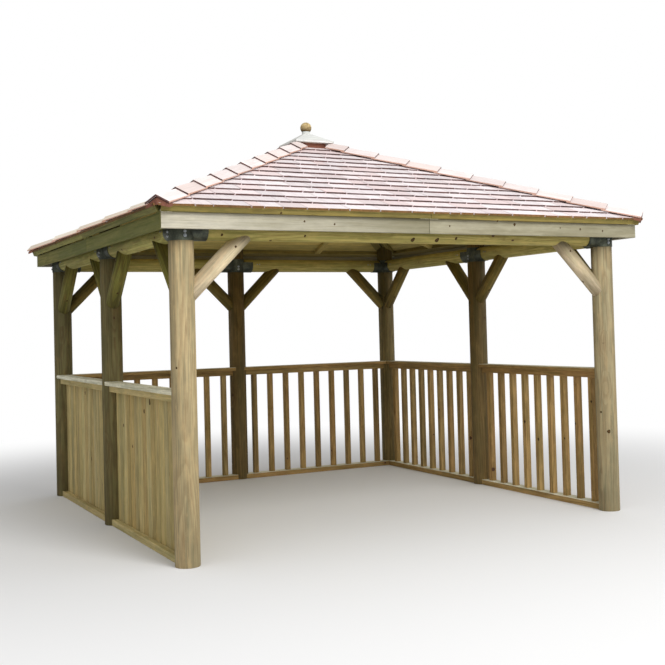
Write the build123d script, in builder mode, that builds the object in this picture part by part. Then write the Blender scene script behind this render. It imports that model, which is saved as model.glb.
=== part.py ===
from build123d import *
from math import cos, radians, sin, sqrt, tan
import os

# Garden gazebo on seven round posts, with a shingled hip roof and an open front.
# Millimetres. The origin is the middle of the plan at ground level, the front faces -Y.
os.makedirs("parts", exist_ok=True)

# Posts
post_spacing = 3300.0
post_diameter = 155.0
post_head = 114.0
fit_clearance = 0.3

# Round beams and the braces under them
beam_diameter = 120.0
beam_underside = 1973.0
brace_diameter = 105.0
brace_drop = 298.0
brace_angle = 45.0

# Metal brackets that hold the beam ends to the posts
bracket_wall = 4.0
bracket_drop = 4.0
cradle_reach = 158.0
cradle_side_rise = 32.0

# Roof panels, each half of a side in one framed panel
roof_pitch = 22.4
fascia_reach = 178.0
eave_overhang = 24.0
frame_depth = 30.0
eave_member_width = 105.0
hip_member_width = 70.0
centre_member_width = 60.0
jack_rafter_width = 55.0
jack_rafter_place = 930.0
deck_thickness = 8.0
hip_gap = 20.0
splice_gap = 3.0

# Fascia boards and the packers above them
fascia_height = 96.0
fascia_thickness = 28.0
packer_height = 10.0
packer_length = 70.0

# Shingles and the caps over the hips
shingle_exposure = 138.0
shingle_head = 7.0
shingle_butt = 16.0
shingle_overhang = 10.0
hip_cap_exposure = 264.0
hip_cap_width = 85.0
hip_cap_head = 8.0
hip_cap_butt = 19.0
hip_cap_lean = 22.0
hip_cap_setback = 20.0

# Cap and ball at the top of the roof
cap_size = 338.0
cap_pitch = 29.0
cap_edge = 14.0
curb_size = 240.0
finial_diameter = 92.0
finial_neck_diameter = 66.0
finial_neck_length = 20.0
finial_foot_diameter = 74.0
finial_foot_height = 5.0

# Rails, balusters and boarded bays
rail_top = 1061.0
rail_cap_width = 100.0
rail_cap_thickness = 30.0
under_rail_size = 46.0
bottom_rail_height = 45.0
baluster_size = 46.0
baluster_pitch = 167.0
baluster_end_gap = 50.0
back_rail_face = 65.0
right_rail_face = 48.0
left_rail_face = 70.0
board_thickness = 18.0
board_ground_gap = 10.0
board_pitch = 98.0
board_groove = 5.0

# Places that follow from the sizes above
half = post_spacing / 2
post_radius = post_diameter / 2
beam_radius = beam_diameter / 2
beam_axis = beam_underside + beam_radius
sleeve_radius = post_radius + fit_clearance + bracket_wall
rise = tan(radians(roof_pitch))
slope_length = 1 / cos(radians(roof_pitch))
fascia_face = half + fascia_reach
eave = fascia_face + eave_overhang
eave_underside = beam_underside + beam_diameter + post_head - (eave - half) * rise
deck_lift = frame_depth + deck_thickness
side_angles = {"front": 0.0, "right": 90.0, "back": 180.0, "left": 270.0}


# A horizontal plane turned to one side of the square: x runs along the side, y inwards
def level(height, angle=0.0):
    return Plane(origin=(0, 0, height), x_dir=(cos(radians(angle)), sin(radians(angle)), 0), z_dir=(0, 0, 1))


# A vertical plane across one side: x runs inwards from the middle of the eave, y upwards
def section(angle, along=0.0):
    inwards = (-sin(radians(angle)), cos(radians(angle)), 0)
    sideways = (cos(radians(angle)), sin(radians(angle)), 0)
    origin = (along * sideways[0], along * sideways[1], 0)
    return Plane(origin=origin, x_dir=inwards, z_dir=sideways)


# A plane that leans towards one side from a level line: x runs along that line, y up the slope
def leaning(angle, reach, height, pitch):
    sideways = (cos(radians(angle)), sin(radians(angle)), 0)
    outwards = (sin(radians(angle)), -cos(radians(angle)), 0)
    tilt = radians(pitch)
    normal = (outwards[0] * sin(tilt), outwards[1] * sin(tilt), cos(tilt))
    return Plane(origin=(outwards[0] * reach, outwards[1] * reach, height), x_dir=sideways, z_dir=normal)


# The underside of one roof slope, or a plane raised square to it
def slope(angle, lift=0.0):
    return leaning(angle, eave, eave_underside, roof_pitch).offset(lift)


# The vertical plane over a hip, at the left end of a side, moved into that side by a distance
def hip_plane(angle, inset=0.0):
    across = (cos(radians(angle - 45)), sin(radians(angle - 45)), 0)
    along = (cos(radians(angle + 45)), sin(radians(angle + 45)), 0)
    origin = (across[0] * inset, across[1] * inset, 0)
    return Plane(origin=origin, x_dir=along, z_dir=across)


# Seven round posts, cut at the top to the slopes that they carry
post_places = {
    "front_left": (-half, -half),
    "front_right": (half, -half),
    "back_right": (half, half),
    "back_left": (-half, half),
    "left": (-half, 0),
    "back": (0, half),
    "right": (half, 0),
}
post_length = beam_underside + beam_diameter + 2 * post_head
for place, (x, y) in post_places.items():
    with BuildPart() as post:
        with BuildSketch():
            with Locations((x, y)):
                Circle(post_radius)
        extrude(amount=post_length)
        for angle in side_angles.values():
            split(bisect_by=slope(angle), keep=Keep.BOTTOM)
    post.part.label = f"post_{place}"
    export_step(post.part, f"parts/post_{place}.step")

# Directions in which each post carries a beam
bracket_arms = {
    "front_left": (0, 90),
    "front_right": (90, 180),
    "back_right": (180, 270),
    "back_left": (270, 360),
    "left": (90, 270),
    "back": (0, 180),
    "right": (90, 270),
}
cradle_radius = beam_radius + fit_clearance + bracket_wall
for place, arms in bracket_arms.items():
    x, y = post_places[place]
    with BuildPart() as bracket:
        with BuildSketch(Plane.XY.offset(beam_underside - bracket_drop)):
            with Locations((x, y)):
                Circle(sleeve_radius)
        extrude(amount=beam_diameter + bracket_drop)
        for turn in arms:
            towards = (cos(radians(turn)), sin(radians(turn)), 0)
            arm = Plane(origin=(x, y, beam_axis), x_dir=(-towards[1], towards[0], 0), z_dir=towards)
            with BuildSketch(arm):
                Circle(cradle_radius)
                with Locations((0, cradle_side_rise / 2)):
                    Rectangle(2 * cradle_radius, cradle_side_rise)
                with Locations((0, cradle_side_rise + cradle_radius)):
                    Rectangle(2 * cradle_radius, 2 * cradle_radius, mode=Mode.SUBTRACT)
            extrude(amount=cradle_reach)
        for turn in arms:
            towards = (cos(radians(turn)), sin(radians(turn)), 0)
            bore = Plane(origin=(x, y, beam_axis), x_dir=(-towards[1], towards[0], 0), z_dir=towards)
            with BuildSketch(bore.offset(sleeve_radius)):
                Circle(beam_radius + fit_clearance)
                with Locations((0, beam_radius)):
                    Rectangle(beam_diameter + 2 * fit_clearance, beam_diameter)
            extrude(amount=cradle_reach, mode=Mode.SUBTRACT)
        with BuildSketch():
            with Locations((x, y)):
                Circle(post_radius + fit_clearance)
        extrude(amount=post_length, mode=Mode.SUBTRACT)
    bracket.part.label = f"bracket_{place}"
    export_step(bracket.part, f"parts/bracket_{place}.step")

# Round beams: one long one over the open front, two on each other side
beam_inset = sleeve_radius + fit_clearance
for side, angle in side_angles.items():
    spans = [(-half, half)] if side == "front" else [(-half, 0), (0, half)]
    with BuildPart() as beams:
        for start, end in spans:
            middle = (start + end) / 2
            with BuildSketch(section(angle, middle)):
                with Locations((-half, beam_axis)):
                    Circle(beam_radius)
            extrude(amount=(end - start) / 2 - beam_inset, both=True)
    node = "beam_front" if side == "front" else f"beams_{side}"
    beams.part.label = node
    export_step(beams.part, f"parts/{node}.step")

# Round braces, scribed to the post at the foot and to the beam at the head
brace_tilt = radians(brace_angle)
brace_start_height = beam_underside - brace_drop - post_radius * tan(brace_tilt)
brace_length = (beam_axis - brace_start_height) / sin(brace_tilt)
for side, angle in side_angles.items():
    feet = [(-half, 1), (half, -1)]
    if side != "front":
        feet += [(0, 1), (0, -1)]
    with BuildPart() as braces:
        for along, lean in feet:
            side_frame = level(brace_start_height, angle)
            foot = side_frame.from_local_coords(Vector(along, -half, 0))
            head = side_frame.from_local_coords(Vector(along + lean, -half, tan(brace_tilt)))
            with BuildSketch(Plane(origin=foot, z_dir=head - foot)):
                Circle(brace_diameter / 2)
            extrude(amount=brace_length)
        with BuildSketch(level(0, angle)):
            with Locations((-half, -half), (half, -half), (0, -half)):
                Circle(post_radius + fit_clearance)
        extrude(amount=post_length, mode=Mode.SUBTRACT)
        with BuildSketch(section(angle)):
            with Locations((-half, beam_axis)):
                Circle(beam_radius + fit_clearance)
        extrude(amount=half, both=True, mode=Mode.SUBTRACT)
    braces.part.label = f"braces_{side}"
    export_step(braces.part, f"parts/braces_{side}.step")

# One side's roof panels: a frame of eave, hip, centre and jack members under a deck of boards
hip_shift = hip_gap / 2 * sqrt(2)
near_x = splice_gap / 2
panel_width = eave - hip_shift
panel_rise = (panel_width - near_x) * slope_length
inner_x = near_x + centre_member_width
hip_inset = hip_member_width * sqrt(1 + slope_length ** 2) / slope_length
inner_width = panel_width - hip_inset - eave_member_width / slope_length
inner_rise = (inner_width - inner_x) * slope_length
jack_left = jack_rafter_place - jack_rafter_width / 2
jack_right = jack_rafter_place + jack_rafter_width / 2
with BuildPart() as roof_side:
    for hand in (1, -1):
        with BuildSketch(slope(0)):
            with BuildLine():
                Polyline((hand * near_x, 0), (hand * panel_width, 0), (hand * near_x, panel_rise), close=True)
            make_face()
            with BuildLine():
                Polyline(
                    (hand * inner_x, eave_member_width),
                    (hand * inner_width, eave_member_width),
                    (hand * inner_x, eave_member_width + inner_rise),
                    close=True,
                )
            make_face(mode=Mode.SUBTRACT)
            with BuildLine():
                Polyline(
                    (hand * jack_left, eave_member_width / 2),
                    (hand * jack_right, eave_member_width / 2),
                    (hand * jack_right, (panel_width - jack_right) * slope_length),
                    (hand * jack_left, (panel_width - jack_left) * slope_length),
                    close=True,
                )
            make_face()
        extrude(amount=frame_depth)
        with BuildSketch(slope(0, frame_depth)):
            with BuildLine():
                Polyline((hand * near_x, 0), (hand * panel_width, 0), (hand * near_x, panel_rise), close=True)
            make_face()
        extrude(amount=deck_thickness)

# The same panels turned to each side
for side, angle in side_angles.items():
    with BuildPart() as panels:
        add(roof_side.part, rotation=(0, 0, angle))
    panels.part.label = f"roof_panels_{side}"
    export_step(panels.part, f"parts/roof_panels_{side}.step")

# Fascia boards in two lengths a side, with packers at their ends that meet the roof frame
fascia_top = eave_underside + eave_overhang * rise
board_top = fascia_top - packer_height
bevel_rise = fascia_thickness * rise
for side, angle in side_angles.items():
    lapped = side in ("left", "right")
    board_end = fascia_face - fascia_thickness if lapped else fascia_face
    board_length = board_end - near_x
    with BuildPart() as fascia:
        for hand in (1, -1):
            with BuildSketch(section(angle, hand * (near_x + board_length / 2))):
                with BuildLine():
                    Polyline(
                        (-fascia_face, board_top - fascia_height),
                        (-fascia_face + fascia_thickness, board_top - fascia_height),
                        (-fascia_face + fascia_thickness, board_top + bevel_rise),
                        (-fascia_face, board_top),
                        close=True,
                    )
                make_face()
            extrude(amount=board_length / 2, both=True)
            for packer_middle in (near_x + packer_length / 2, board_end - packer_length / 2):
                with BuildSketch(section(angle, hand * packer_middle)):
                    with BuildLine():
                        Polyline(
                            (-fascia_face, board_top),
                            (-fascia_face + fascia_thickness, board_top + bevel_rise),
                            (-fascia_face + fascia_thickness, fascia_top + bevel_rise),
                            (-fascia_face, fascia_top),
                            close=True,
                        )
                    make_face()
                extrude(amount=packer_length / 2, both=True)
        for other in side_angles.values():
            split(bisect_by=slope(other), keep=Keep.BOTTOM)
    fascia.part.label = f"fascia_{side}"
    export_step(fascia.part, f"parts/fascia_{side}.step")

# Height of the flat underside of the roof's cap, which rests on the hip caps
hip_ridge_lift = deck_lift + shingle_butt + fit_clearance + hip_cap_lean + hip_cap_butt
cap_underside = eave_underside + (eave - cap_size / 2) * rise + hip_ridge_lift * slope_length

# One side's courses of shingles: a stepped layer, cut at the hips and round the curb
course_count = int(eave * slope_length / shingle_exposure) + 1
shingle_steps = []
for course in range(course_count):
    course_foot = course * shingle_exposure - shingle_overhang
    shingle_steps += [(course_foot, shingle_butt), (course_foot + shingle_exposure, shingle_head)]
shingle_end = course_count * shingle_exposure - shingle_overhang
deck = slope(0, deck_lift)
with BuildPart() as shingle_side:
    with BuildSketch(Plane(origin=deck.origin, x_dir=deck.y_dir, z_dir=deck.x_dir)):
        with BuildLine():
            Polyline((-shingle_overhang, 0), *shingle_steps, (shingle_end, 0), close=True)
        make_face()
    extrude(amount=eave + 2 * shingle_overhang, both=True)
    split(bisect_by=hip_plane(0, fit_clearance), keep=Keep.TOP)
    split(bisect_by=hip_plane(90, -fit_clearance), keep=Keep.BOTTOM)
    with BuildSketch():
        Rectangle(curb_size + 2 * fit_clearance, curb_size + 2 * fit_clearance)
    extrude(amount=cap_underside, mode=Mode.SUBTRACT)
    with BuildSketch(Plane.XY.offset(cap_underside - fit_clearance)):
        Rectangle(cap_size, cap_size)
    extrude(amount=cap_size, mode=Mode.SUBTRACT)

for side, angle in side_angles.items():
    with BuildPart() as shingles:
        add(shingle_side.part, rotation=(0, 0, angle))
    shingles.part.label = f"shingles_{side}"
    export_step(shingles.part, f"parts/shingles_{side}.step")

# Caps over one hip: overlapping pairs of boards that lean on the shingles and are mitred at the ridge
cap_lift = deck_lift + shingle_butt + fit_clearance + hip_cap_lean
hip_length = eave * sqrt(1 + slope_length ** 2)
hip_cap_count = int(hip_length / hip_cap_exposure) + 1
hip_steps = []
for course in range(hip_cap_count):
    course_foot = hip_cap_setback + course * hip_cap_exposure
    hip_steps += [(course_foot, hip_cap_butt), (course_foot + hip_cap_exposure, hip_cap_head)]
hip_cap_end = hip_cap_setback + hip_cap_count * hip_cap_exposure
cap_deck = slope(0, cap_lift)
hip_foot_x = -eave - cap_lift * sin(radians(roof_pitch))
hip_foot = cap_deck.from_local_coords(Vector(hip_foot_x, 0, 0))
hip_direction = cap_deck.from_local_coords(Vector(hip_foot_x + 1, slope_length, 0)) - hip_foot
into_slope = (cap_deck.from_local_coords(Vector(hip_foot_x + slope_length, -1, 0)) - hip_foot).normalized()
across_board = into_slope * hip_cap_width - cap_deck.z_dir * hip_cap_lean
mitre_share = 2 * hip_cap_butt / hip_cap_width
with BuildPart() as hip_run:
    hip_profile = Plane(origin=hip_foot - across_board * mitre_share, x_dir=hip_direction, z_dir=into_slope)
    with BuildSketch(hip_profile):
        with BuildLine():
            Polyline((hip_cap_setback, 0), *hip_steps, (hip_cap_end, 0), close=True)
        make_face()
    extrude(amount=across_board.length * (1 + mitre_share), dir=across_board)
    split(bisect_by=hip_plane(0), keep=Keep.TOP)
    mirror(about=hip_plane(0))
    with BuildSketch():
        Rectangle(curb_size + 2 * fit_clearance, curb_size + 2 * fit_clearance)
    extrude(amount=cap_underside, mode=Mode.SUBTRACT)
    with BuildSketch(Plane.XY.offset(cap_underside - fit_clearance)):
        Rectangle(2 * cap_size, 2 * cap_size)
    extrude(amount=cap_size, mode=Mode.SUBTRACT)

with BuildPart() as hip_caps:
    for angle in side_angles.values():
        add(hip_run.part, rotation=(0, 0, angle))
hip_caps.part.label = "hip_caps"
export_step(hip_caps.part, "parts/hip_caps.step")

# The roof below the curb, used to cut the curb's foot
with BuildPart() as roof_form:
    with BuildSketch():
        Rectangle(2 * half, 2 * half)
    extrude(amount=cap_underside + cap_size)
    for angle in side_angles.values():
        split(bisect_by=slope(angle, deck_lift), keep=Keep.BOTTOM)

# Square cap on its curb over the peak of the roof
cap_rise = (cap_size - finial_foot_diameter) / 2 * tan(radians(cap_pitch))
cap_top = cap_underside + cap_edge + cap_rise
with BuildPart() as roof_cap:
    with BuildSketch(Plane.XY.offset(cap_underside)):
        Rectangle(curb_size, curb_size)
    extrude(amount=-curb_size / 2)
    with BuildSketch(Plane.XY.offset(cap_underside)):
        Rectangle(cap_size, cap_size)
    extrude(amount=cap_edge + cap_rise)
    for angle in side_angles.values():
        cap_slope = leaning(angle, cap_size / 2, cap_underside + cap_edge, cap_pitch)
        split(bisect_by=cap_slope, keep=Keep.BOTTOM)
    add(roof_form.part, mode=Mode.SUBTRACT)
roof_cap.part.label = "roof_cap"
export_step(roof_cap.part, "parts/roof_cap.step")

# Turned ball finial on a short neck
ball_radius = finial_diameter / 2
neck_radius = finial_neck_diameter / 2
foot_radius = finial_foot_diameter / 2
neck_foot = cap_top + finial_foot_height
neck_top = neck_foot + finial_neck_length
ball_centre = neck_top + sqrt(ball_radius ** 2 - neck_radius ** 2)
ball_top = ball_centre + ball_radius
with BuildPart() as finial:
    with BuildSketch(Plane.XZ):
        with BuildLine():
            Polyline((0, ball_top), (0, cap_top), (foot_radius, cap_top), (foot_radius, neck_foot))
            Polyline((foot_radius, neck_foot), (neck_radius, neck_foot), (neck_radius, neck_top))
            ThreePointArc((neck_radius, neck_top), (ball_radius, ball_centre), (0, ball_top))
        make_face()
    revolve(axis=Axis.Z)
finial.part.label = "finial"
export_step(finial.part, "parts/finial.step")


# Outline of a rail in a side's own frame, mitred where it turns a corner to a neighbour's face
def rail_outline(start, end, face, width, start_turn=None, end_turn=None):
    near = -half + face
    far = near - width
    near_start, far_start = start, start
    near_end, far_end = end, end
    if start_turn is not None:
        near_start = start + start_turn
        far_start = near_start - width
    if end_turn is not None:
        near_end = end - end_turn
        far_end = near_end + width
    with BuildSketch() as outline:
        with BuildLine():
            Polyline((near_start, near), (near_end, near), (far_end, far), (far_start, far), close=True)
        make_face()
        with Locations((-half, -half), (0, -half), (half, -half)):
            Circle(post_radius + fit_clearance, mode=Mode.SUBTRACT)
    return outline.sketch


# Open bays: a cap on a square rail, square balusters and a flat rail on the ground
baluster_run = half - post_diameter - 2 * baluster_end_gap - baluster_size
baluster_count = int(baluster_run / baluster_pitch) + 1
cap_foot = rail_top - rail_cap_thickness
under_rail_foot = cap_foot - under_rail_size
open_bays = {
    "back_left": ("back", 0, half, back_rail_face, None, None),
    "back_right": ("back", -half, 0, back_rail_face, right_rail_face, None),
    "right_back": ("right", 0, half, right_rail_face, None, back_rail_face),
    "right_front": ("right", -half, 0, right_rail_face, None, None),
}
for bay, (side, start, end, face, start_turn, end_turn) in open_bays.items():
    angle = side_angles[side]
    centre_line = -half + face - rail_cap_width / 2
    with BuildPart() as balustrade:
        with BuildSketch(level(cap_foot, angle)):
            add(rail_outline(start, end, face, rail_cap_width, start_turn, end_turn))
        extrude(amount=rail_cap_thickness)
        with BuildSketch(level(under_rail_foot, angle)):
            add(rail_outline(start, end, centre_line + half + under_rail_size / 2, under_rail_size))
        extrude(amount=under_rail_size)
        with BuildSketch(level(0, angle)):
            add(rail_outline(start, end, face, rail_cap_width, start_turn, end_turn))
        extrude(amount=bottom_rail_height)
        with BuildSketch(level(bottom_rail_height, angle)):
            with Locations(((start + end) / 2, centre_line)):
                with GridLocations(baluster_pitch, baluster_size, baluster_count, 1):
                    Rectangle(baluster_size, baluster_size)
        extrude(amount=under_rail_foot - bottom_rail_height)
    balustrade.part.label = f"balustrade_{bay}"
    export_step(balustrade.part, f"parts/balustrade_{bay}.step")

# Boarded bays on the left: grooved upright boards behind a rail at the top and one at the ground
boarded_bays = {"left_back": (-half, 0), "left_front": (0, half)}
angle = side_angles["left"]
centre_line = -half - left_rail_face + rail_cap_width / 2
board_face = centre_line + under_rail_size / 2
board_count = int((half - post_diameter) / board_pitch)
for bay, (start, end) in boarded_bays.items():
    middle = (start + end) / 2
    board_span = end - start - post_diameter - 2 * fit_clearance
    with BuildPart() as boarded:
        with BuildSketch(level(cap_foot, angle)):
            add(rail_outline(start, end, rail_cap_width - left_rail_face, rail_cap_width))
        extrude(amount=rail_cap_thickness)
        with BuildSketch(level(under_rail_foot, angle), level(0, angle)):
            add(rail_outline(start, end, board_face + half, under_rail_size))
        extrude(amount=under_rail_size)
        with BuildSketch(level(board_ground_gap, angle)):
            with Locations((middle, board_face + board_thickness / 2)):
                Rectangle(board_span, board_thickness)
            with Locations((middle, board_face)):
                with GridLocations(board_pitch, board_thickness, board_count, 1):
                    Rectangle(board_groove, board_groove, rotation=45, mode=Mode.SUBTRACT)
        extrude(amount=cap_foot - board_ground_gap)
    boarded.part.label = f"boarding_{bay}"
    export_step(boarded.part, f"parts/boarding_{bay}.step")
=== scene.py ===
import math
import random

import bmesh
import bpy
import numpy as np
from mathutils import Matrix, Vector


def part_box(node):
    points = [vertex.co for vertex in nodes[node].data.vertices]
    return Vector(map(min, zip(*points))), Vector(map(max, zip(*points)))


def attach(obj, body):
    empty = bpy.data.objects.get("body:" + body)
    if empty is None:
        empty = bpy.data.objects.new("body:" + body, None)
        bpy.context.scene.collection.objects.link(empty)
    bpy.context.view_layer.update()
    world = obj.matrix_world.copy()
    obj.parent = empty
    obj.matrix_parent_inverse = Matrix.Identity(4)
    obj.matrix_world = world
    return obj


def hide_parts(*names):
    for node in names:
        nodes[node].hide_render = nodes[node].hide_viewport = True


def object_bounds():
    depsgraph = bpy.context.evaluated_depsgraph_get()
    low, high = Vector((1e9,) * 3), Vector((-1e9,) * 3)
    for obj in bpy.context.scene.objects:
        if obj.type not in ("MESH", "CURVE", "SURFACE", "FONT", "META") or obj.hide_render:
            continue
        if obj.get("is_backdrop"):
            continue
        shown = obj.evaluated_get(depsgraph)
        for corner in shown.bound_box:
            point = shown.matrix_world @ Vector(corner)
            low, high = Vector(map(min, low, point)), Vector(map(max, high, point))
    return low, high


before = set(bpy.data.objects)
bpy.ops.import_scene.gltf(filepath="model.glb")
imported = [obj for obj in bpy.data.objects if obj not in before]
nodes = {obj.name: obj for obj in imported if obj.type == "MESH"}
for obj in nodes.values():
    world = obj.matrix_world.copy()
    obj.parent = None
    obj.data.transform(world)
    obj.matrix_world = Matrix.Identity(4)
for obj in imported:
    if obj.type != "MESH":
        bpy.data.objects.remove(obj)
packed_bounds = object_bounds()

# The garden gazebo's looks. Metres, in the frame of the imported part: the open front faces -Y.
SIDES = {"front": 0.0, "right": 90.0, "back": 180.0, "left": 270.0}

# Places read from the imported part
low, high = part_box("post_front_right")
HALF, POST_RADIUS = (low.x + high.x) / 2, (high.x - low.x) / 2
low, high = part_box("beam_front")
BEAM_AXIS, BEAM_RADIUS, BEAM_INSET = (low.z + high.z) / 2, (high.z - low.z) / 2, HALF - high.x
low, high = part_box("braces_front")
BRACE_RADIUS = (high.y - low.y) / 2
low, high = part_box("roof_panels_front")
SPLICE, EAVE_FOOT, PANEL_END = 0.0015, low.z, high.x
run, deep, tall = PANEL_END - SPLICE, high.y - low.y, high.z - low.z
RISE = (tall + math.sqrt(tall**2 - 4 * run * (deep - run))) / (2 * run)
PITCH = math.atan(RISE)
COS_PITCH, SIN_PITCH = math.cos(PITCH), math.sin(PITCH)
DECK_LIFT = (deep - run) / SIN_PITCH
EAVE = -low.y - DECK_LIFT * SIN_PITCH
low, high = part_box("fascia_front")
FASCIA_FACE, FASCIA_THICK, FASCIA_FOOT = -low.y, high.y - low.y, low.z
low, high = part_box("bracket_right")
SLEEVE_RADIUS, CRADLE_REACH = HALF - low.x, high.y
low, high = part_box("roof_cap")
CAP_HALF, CAP_FOOT, CAP_TOP = high.x, low.z, high.z
FINIAL_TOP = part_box("finial")[1].z
RAIL_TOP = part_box("balustrade_right_front")[1].z
BACK_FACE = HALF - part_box("balustrade_back_left")[0].y
RIGHT_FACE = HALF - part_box("balustrade_right_front")[0].x
LEFT_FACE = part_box("boarding_left_front")[0].x + HALF

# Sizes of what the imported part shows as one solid
CLEARANCE = 0.0003
FINE_ARRIS, ARRIS, BOLD_ARRIS = 0.001, 0.002, 0.003
FINE_FACETS, FACETS = 72, 64
DECK_THICK, DECK_BOARD, DECK_GAP, DECK_LEAST = 0.008, 0.12, 0.0012, 0.01
FRAME_DEPTH = DECK_LIFT - DECK_THICK
EAVE_MEMBER, HIP_MEMBER, CENTRE_MEMBER = 0.105, 0.07, 0.06
JACK_WIDTH, JACK_PLACE = 0.055, 0.93
PACKER, PACKER_LENGTH = 0.010, 0.07
EXPOSURE, SHINGLE_BUTT, SHINGLE_HEAD, OVERHANG = 0.138, 0.016, 0.003, 0.01
SHINGLE_WIDTHS, SHINGLE_LEAST = (0.085, 0.11, 0.135, 0.16, 0.19, 0.23, 0.27), 0.015
SHINGLE_GAP, SHINGLE_LAP, CORNER_WIDTH, CORNER_LENGTH = 0.003, 0.045, 0.003, 0.03
JOINTS_APART, JOINT_SHIFT = 0.025, 0.035
HIP_EXPOSURE, HIP_LAP, HIP_LEAST, HIP_WIDTH = 0.264, 0.03, 0.05, 0.085
HIP_BUTT, HIP_HEAD, HIP_LEAN, HIP_SETBACK = 0.019, 0.008, 0.022, 0.02
END_BLOCK_IN, END_BLOCK_LONG, END_BLOCK_LIFT = 0.006, 0.05, 0.0006
RAIL_CAP, RAIL_CAP_THICK, UNDER_RAIL, BOTTOM_RAIL, RAIL_PARTS = 0.1, 0.03, 0.046, 0.045, 12
BALUSTER, BALUSTER_PITCH, BALUSTER_COUNT = 0.046, 0.167, 9
BOARD_THICK, BOARD_PITCH, BOARD_LIFT, BOARD_JOINTS = 0.018, 0.098, 0.01, 15
BOARD_GAP, BOARD_BEVEL = 0.002, 0.0055
BRACE_DROP, SCREW_IN, SCREW_RECESS = 0.298, {"foot": 0.1, "head": 0.055}, 0.014
CURB, CURB_WALL, CAP_EDGE, CAP_PITCH = 0.12, 0.03, 0.014, math.radians(29)
BALL, NECK, FOOT, FOOT_HEIGHT = 0.046, 0.033, 0.037, 0.005

# Knots that stand out in the photo, by the pixel where each one shows, with their sizes
FASCIA_KNOTS = {
    (449.7, 226.1): 0.011, (560.2, 228.0): 0.009, (580.2, 229.3): 0.014, (602.5, 230.9): 0.012,
    (304.5, 221.4): 0.012, (334.6, 224.2): 0.012, (514.5, 224.6): 0.018,
}
EAVE_KNOTS = {(281.2, 213.0): 0.014, (497.6, 221.0): 0.012}
BEAM_KNOTS = {
    (412.8, 239.9): 0.028, (437.0, 240.2): 0.03, (456.1, 238.6): 0.018,
    (270.4, 240.6): 0.016, (305.0, 236.0): 0.014, (222.0, 234.8): 0.016,
}
BOARD_KNOTS = {
    (149.7, 402.4): 0.032, (144.1, 411.3): 0.026, (123.7, 425.3): 0.02,
    (132.6, 446.4): 0.018, (85.1, 393.0): 0.024,
}
BALUSTER_KNOTS = {
    (524.7, 421.6): 0.022, (538.3, 439.2): 0.02, (564.5, 438.4): 0.014,
    (575.5, 423.5): 0.016, (591.2, 401.6): 0.018,
}
POST_KNOTS = {
    "front_right": {(608.8, 431.5): 0.024, (601.0, 412.0): 0.014},
    "front_left": {(176.5, 368.0): 0.012},
}


def vec(*values):
    return np.array(values, float)


def unit(v):
    return v / np.linalg.norm(v)


# The camera solved from the photo
CAMERA_PLACE = vec(-3.7044, -7.7647, 1.4186)
YAW, TILT, ROLL = 0.476, 0.0269, -0.0262
FOCAL, PRINCIPAL, PIXELS, SENSOR = 1048.58, (342.53, 298.86), 665, 36.0
forward = vec(math.sin(YAW) * math.cos(TILT), math.cos(YAW) * math.cos(TILT), math.sin(TILT))
level_right = vec(math.cos(YAW), -math.sin(YAW), 0)
level_top = np.cross(level_right, forward)
view_right = level_right * math.cos(ROLL) + level_top * math.sin(ROLL)
view_top = -level_right * math.sin(ROLL) + level_top * math.cos(ROLL)


def sight(pixel):
    return forward * FOCAL + view_right * (pixel[0] - PRINCIPAL[0]) - view_top * (pixel[1] - PRINCIPAL[1])


# Where the line of sight through a pixel meets a plane
def seen_on_plane(pixel, point, normal):
    ray = sight(pixel)
    return CAMERA_PLACE + ray * ((point - CAMERA_PLACE) @ normal) / (ray @ normal)


# Where it meets a round timber, and the timber's outward direction there
def seen_on_round(pixel, point, axis, radius):
    ray, away = sight(pixel), point - CAMERA_PLACE
    across, away = ray - axis * (ray @ axis), away - axis * (away @ axis)
    a, b, c = across @ across, across @ away, away @ away - radius**2
    place = CAMERA_PLACE + ray * (b - math.sqrt(max(b * b - a * c, 0))) / a
    out = place - point
    return place, unit(out - axis * (out @ axis))


# A new object in the scene
def made(name, data):
    thing = bpy.data.objects.new(name, data)
    bpy.context.scene.collection.objects.link(thing)
    return thing


# A piece in the making: solids in one mesh, with grain and tones; a face's kind picks its material
class Piece:
    def __init__(self, name, seed):
        self.name = name
        self.rng = random.Random(seed)
        self.points, self.grain, self.tones, self.faces, self.smooth, self.kinds = [], [], [], [], [], []

    def add(self, points, faces, smooth, grain, tone=None, kinds=None, fades_and_painted_shade=None):
        start = len(self.points)
        warmth = self.rng.random()
        tone = self.rng.random() if tone is None else tone
        if isinstance(tone, tuple):
            tone, warmth = tone
        self.points += [tuple(p) for p in points]
        self.grain += [tuple(g) for g in grain]
        self.tones += [(tone, warmth, fade) for fade in fades_and_painted_shade or [0.0] * len(points)]
        self.faces += [tuple(start + i for i in face) for face in faces]
        self.smooth += smooth
        self.kinds += kinds or [0] * len(faces)

    def finish(self, slot, materials, *stands_for):
        mesh = bpy.data.meshes.new(self.name)
        mesh.from_pydata(self.points, [], self.faces)
        for name, values in (("grain", self.grain), ("tone", self.tones)):
            layer = mesh.attributes.new(name, "FLOAT_VECTOR", "POINT")
            layer.data.foreach_set("vector", np.array(values, np.float32).ravel())
        for material in materials:
            mesh.materials.append(material)
        mesh.polygons.foreach_set("use_smooth", self.smooth)
        mesh.polygons.foreach_set("material_index", self.kinds)
        work = bmesh.new()
        work.from_mesh(mesh)
        bmesh.ops.recalc_face_normals(work, faces=work.faces)
        work.to_mesh(mesh)
        work.free()
        piece = made(self.name, mesh)
        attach(piece, "root")
        if stands_for:
            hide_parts(*stands_for)
        return piece


UP = vec(0, 0, 1)
GRAIN_SHIFT = 30


# The directions along a side and inwards from it
def side_axes(side):
    a = math.radians(SIDES[side])
    return vec(math.cos(a), math.sin(a), 0), vec(-math.sin(a), math.cos(a), 0)


def circle(radius, count):
    turn = 2 * math.pi / count
    return [(radius * math.cos(turn * i), radius * math.sin(turn * i)) for i in range(count)]


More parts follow.
